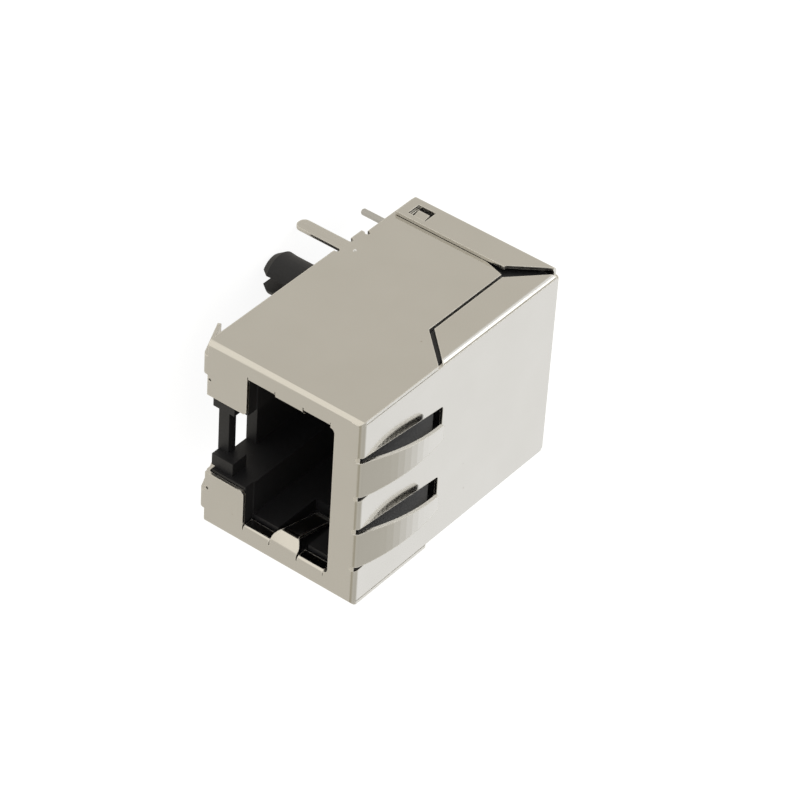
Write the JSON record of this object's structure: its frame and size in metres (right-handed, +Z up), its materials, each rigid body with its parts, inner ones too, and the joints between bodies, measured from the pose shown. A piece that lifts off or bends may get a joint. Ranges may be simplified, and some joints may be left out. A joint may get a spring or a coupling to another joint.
{
  "type": "rj45 board jack",
  "caption": "Shielded modular jack for a circuit board: folded metal shield with spring fingers, plug opening with latch notch, board pegs, ground tabs and solder tails.",
  "frame": {"origin": "on the host board's surface, midway between the two board pegs", "axes": "+Z up off the board, +Y away from the plug opening, +X to the right as seen from the plug"},
  "size_m": [0.0164, 0.0216, 0.018],
  "materials": {
    "nickel_sheet": "nickel plated, smooth",
    "black_plastic": "moulded, matte",
    "carrier_plastic": "moulded, matte",
    "gold_contact": "gold plated, polished",
    "board_laminate": "solder mask over laminate",
    "tinned_terminal": "tin plated",
    "ferrite": "fired ferrite, matte",
    "copper_wire": "enamelled copper wire",
    "resistor_body": "fired chip body",
    "capacitor_body": "fired chip body",
    "silicone": "soft translucent silicone"
  },
  "bodies": {
    "root": {"shield": "nickel_sheet", "housing": "black_plastic", "contact_carrier": "carrier_plastic", "contact_1": "gold_contact", "contact_2": "gold_contact", "contact_3": "gold_contact", "contact_4": "gold_contact", "contact_5": "gold_contact", "contact_6": "gold_contact", "contact_7": "gold_contact", "contact_8": "gold_contact", "circuit_board": "board_laminate", "terminal_base": "black_plastic", "terminal_1": "tinned_terminal", "terminal_2": "tinned_terminal", "terminal_3": "tinned_terminal", "terminal_4": "tinned_terminal", "terminal_5": "tinned_terminal", "terminal_6": "tinned_terminal", "terminal_7": "tinned_terminal", "terminal_8": "tinned_terminal", "terminal_9": "tinned_terminal", "terminal_10": "tinned_terminal", "transmit_transformer_core": "ferrite", "transmit_transformer_winding": "copper_wire", "receive_transformer_core": "ferrite", "receive_transformer_winding": "copper_wire", "transmit_choke_core": "ferrite", "transmit_choke_winding": "copper_wire", "receive_choke_core": "ferrite", "receive_choke_winding": "copper_wire", "termination_resistor_1": "resistor_body", "termination_resistor_2": "resistor_body", "termination_resistor_3": "resistor_body", "termination_resistor_4": "resistor_body", "isolation_capacitor": "capacitor_body", "coil_silicone": "silicone"}
  },
  "joints": []
}
